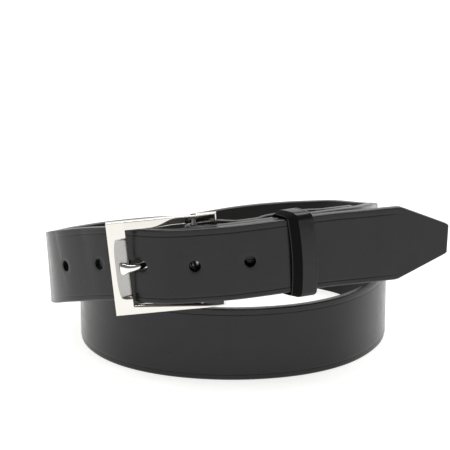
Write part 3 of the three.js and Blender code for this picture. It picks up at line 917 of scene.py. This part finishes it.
def prong():
    """Rounded shank that widens to a lipped tip, joined to an eye round the heel bar."""
    line = catmull_rom(PRONG_LINE, 5)
    tangent = np.zeros((len(line), 2))
    tangent[1:-1] = line[2:, :2] - line[:-2, :2]
    tangent[0], tangent[-1] = line[1, :2] - line[0, :2], line[-1, :2] - line[-2, :2]
    tangent = unit(tangent)
    angles = 2 * np.pi * np.arange(28) / 28
    points = []
    for (x, z, width, thickness), (tx, tz) in zip(line, tangent):
        for a in angles:
            side = width / 2 * math.copysign(abs(math.cos(a)) ** 0.85, math.cos(a))
            rise = thickness / 2 * math.copysign(abs(math.sin(a)) ** 1.15, math.sin(a))
            points.append((x + tz * rise, side, z - tx * rise))
    faces = tube_faces(len(line), len(angles))
    last = (len(line) - 1) * len(angles)
    faces += [tuple(range(len(angles)))[::-1], tuple(last + j for j in range(len(angles)))]
    eye_points, eye_faces = prong_eye()
    slots = [0] * len(faces) + [1] * len(eye_faces)
    faces += [tuple(len(points) + k for k in f) for f in eye_faces]
    points += eye_points
    materials = [PRONG_CHROME, PIN_METAL]
    return make_object("prong_plated", points, faces, materials, slots, BUCKLE, sharp=40)


def prong_eye(segments=40):
    half = PRONG_WIDTH / 2
    r, bore, edge = PRONG_EYE_RADIUS, PIN_RADIUS + 0.25, 0.4
    rim = [(r - edge, half), (r - 0.12, half - 0.12), (r, half - edge)]
    section = [(radius, -y) for radius, y in rim] + rim[::-1] + [(bore, half), (bore, -half)]
    points = [(PIN_FROM_FRONT + radius * math.cos(a), y, -PIN_DEPTH + radius * math.sin(a))
              for a in 2 * np.pi * np.arange(segments) / segments for radius, y in section]
    return points, tube_faces(segments, len(section), closed_rows=True)


def screw_spacing(distance):
    """Spacing of the fold-back behind the base strap at a screw."""
    base = COIL_RUN.at(np.array([distance]))[0][0]
    fold = STRAP_RUN.points[STRAP_RUN.distance < COIL_START - 8]
    return np.linalg.norm(fold - base, axis=1).min()


def screw_post(number, distance):
    """Threaded barrel through the base strap and the fold-back, with a low round head behind."""
    back = -screw_spacing(distance) - SKIVED_THICKNESS / 2 - 0.5
    r = BARREL_RADIUS
    outline = [(0, back - 1.1), (3.3, back - 1.1), (3.7, back - 1.02), (3.92, back - 0.8)]
    outline += [(4.0, back - 0.5), (3.96, back - 0.1), (3.85, back), (r, back), (r, -0.15), (r - 0.15, 0)]
    outline += [(1.45, 0), (1.35, -0.15), (1.35, back + 1), (0, back + 1)]
    return lathe(f"screw_post_{number}_steel", outline, place_on(distance), [SCREW_BLACKENED_AND_PAINTED_SHADE])


def screw_cap(number, distance):
    """Low-domed screw with a coin slot across its head."""
    face = np.interp(distance, COIL_RUN.distance, COIL_RUN.thickness) / 2 - 0.1
    outline = [(0, -3), (0.8, -3), (1.1, -2.7), (1.1, face - 1), (CAP_RADIUS - 0.15, face - 1)]
    outline += [(CAP_RADIUS, face - 0.85), (CAP_RADIUS, face - 0.45), (CAP_RADIUS - 0.1, face - 0.25)]
    outline += [(CAP_RADIUS - 0.4, face - 0.12), (2.4, face - 0.03), (1.2, face), (0, face)]
    place = place_on(distance)
    piece = lathe(f"screw_cap_{number}_steel", outline, place, [SCREW_BLACKENED_AND_PAINTED_SHADE])
    cut(piece, [prism(rectangle(-4.2, 4.2, -0.4, 0.4), face - 0.5, face + 0.5, place)])
    return piece


# ---------------------------------------------------------------- assembly

def fit(piece, body, node):
    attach(piece, body)
    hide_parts(node)


fit(strap(), "strap_body", "strap")
fit(keeper(), "keeper_body", "keeper")
fit(buckle_frame(), "buckle", "buckle_frame")
fit(heel_bar(), "buckle", "heel_bar")
fit(prong(), "prong_body", "prong")
for index, spot in enumerate(SCREW_AT, start=1):
    fit(screw_post(index, spot), "strap_body", f"screw_post_{index}")
    fit(screw_cap(index, spot), "strap_body", f"screw_cap_{index}")


# ---------------------------------------------------------------- stage, lights and camera

def floor():
    """Plain pale paper that gives off a little light of its own, so that it reads as white."""
    n = Nodes("floor_paper")
    n.feed(n.shader.inputs["Base Color"], n.mix_colour(n.noise(6, 2), grey(0.47), grey(0.45)))
    n.shader.inputs["Roughness"].default_value = 0.9
    n.shader.inputs["Specular IOR Level"].default_value = 0.1
    n.shader.inputs["Emission Color"].default_value = (1.0, 0.995, 0.985, 1.0)
    n.shader.inputs["Emission Strength"].default_value = 0.8
    mesh = bpy.data.meshes.new("floor")
    size, drop = 6.0, -0.0001
    corners = [(-size, -size, drop), (size, -size, drop), (size, size, drop), (-size, size, drop)]
    mesh.from_pydata(corners, [], [(0, 1, 2, 3)])
    mesh.materials.append(n.material)
    piece = bpy.data.objects.new("floor", mesh)
    bpy.context.scene.collection.objects.link(piece)


def soft_light(name, location, target, size, power):
    data = bpy.data.lights.new(name, "AREA")
    data.shape = "RECTANGLE"
    data.size, data.size_y = size
    data.energy = power
    light = bpy.data.objects.new(name, data)
    light.location = location
    light.visible_camera = False
    aim = Vector(target) - Vector(location)
    light.rotation_euler = aim.to_track_quat("-Z", "Y").to_euler()
    bpy.context.scene.collection.objects.link(light)


def world():
    """Plain pale surroundings, brighter behind the belt than in front."""
    surroundings = bpy.data.worlds.new("studio")
    surroundings.use_nodes = True
    tree = surroundings.node_tree
    direction = tree.nodes.new("ShaderNodeTexCoord")
    split = tree.nodes.new("ShaderNodeSeparateXYZ")
    tree.links.new(direction.outputs["Generated"], split.inputs[0])
    ramp = tree.nodes.new("ShaderNodeMapRange")
    tree.links.new(split.outputs["Y"], ramp.inputs[0])
    for socket, number in zip(ramp.inputs[1:5], (0.0, 0.9, 0.15, 1.15)):
        socket.default_value = number
    tree.links.new(ramp.outputs[0], tree.nodes["Background"].inputs["Strength"])
    tree.nodes["Background"].inputs["Color"].default_value = (1.0, 1.0, 1.0, 1.0)
    bpy.context.scene.world = surroundings


def lights():
    soft_light("left_box", (-1.0, 0.0, 0.5), (0, 0, 0.05), (0.4, 0.6), 0.8)
    soft_light("right_box", (1.0, 0.0, 0.5), (0, 0, 0.05), (0.4, 0.8), 1.0)
    soft_light("top_box", (0.0, 0.05, 0.9), (0, 0, 0), (0.7, 0.5), 5.6)


CAMERA_PLACE = (-0.00817, -0.84991, 0.30713)
CAMERA_TILT = 73.5  # degrees up from looking straight down
CAMERA_LENS = 144  # mm, on a 36 mm sensor


def camera():
    """Camera at the photograph's angle: straight on from the front, looking down by 16.5 degrees."""
    data = bpy.data.cameras.new("camera")
    data.lens = CAMERA_LENS
    data.sensor_width = 36
    data.clip_start, data.clip_end = 0.05, 50
    data.dof.use_dof = False
    piece = bpy.data.objects.new("camera", data)
    piece.location = CAMERA_PLACE
    piece.rotation_euler = (math.radians(CAMERA_TILT), 0, 0)
    bpy.context.scene.collection.objects.link(piece)
    bpy.context.scene.camera = piece


floor()
world()
lights()
camera()
bpy.context.scene.view_settings.view_transform = "Standard"
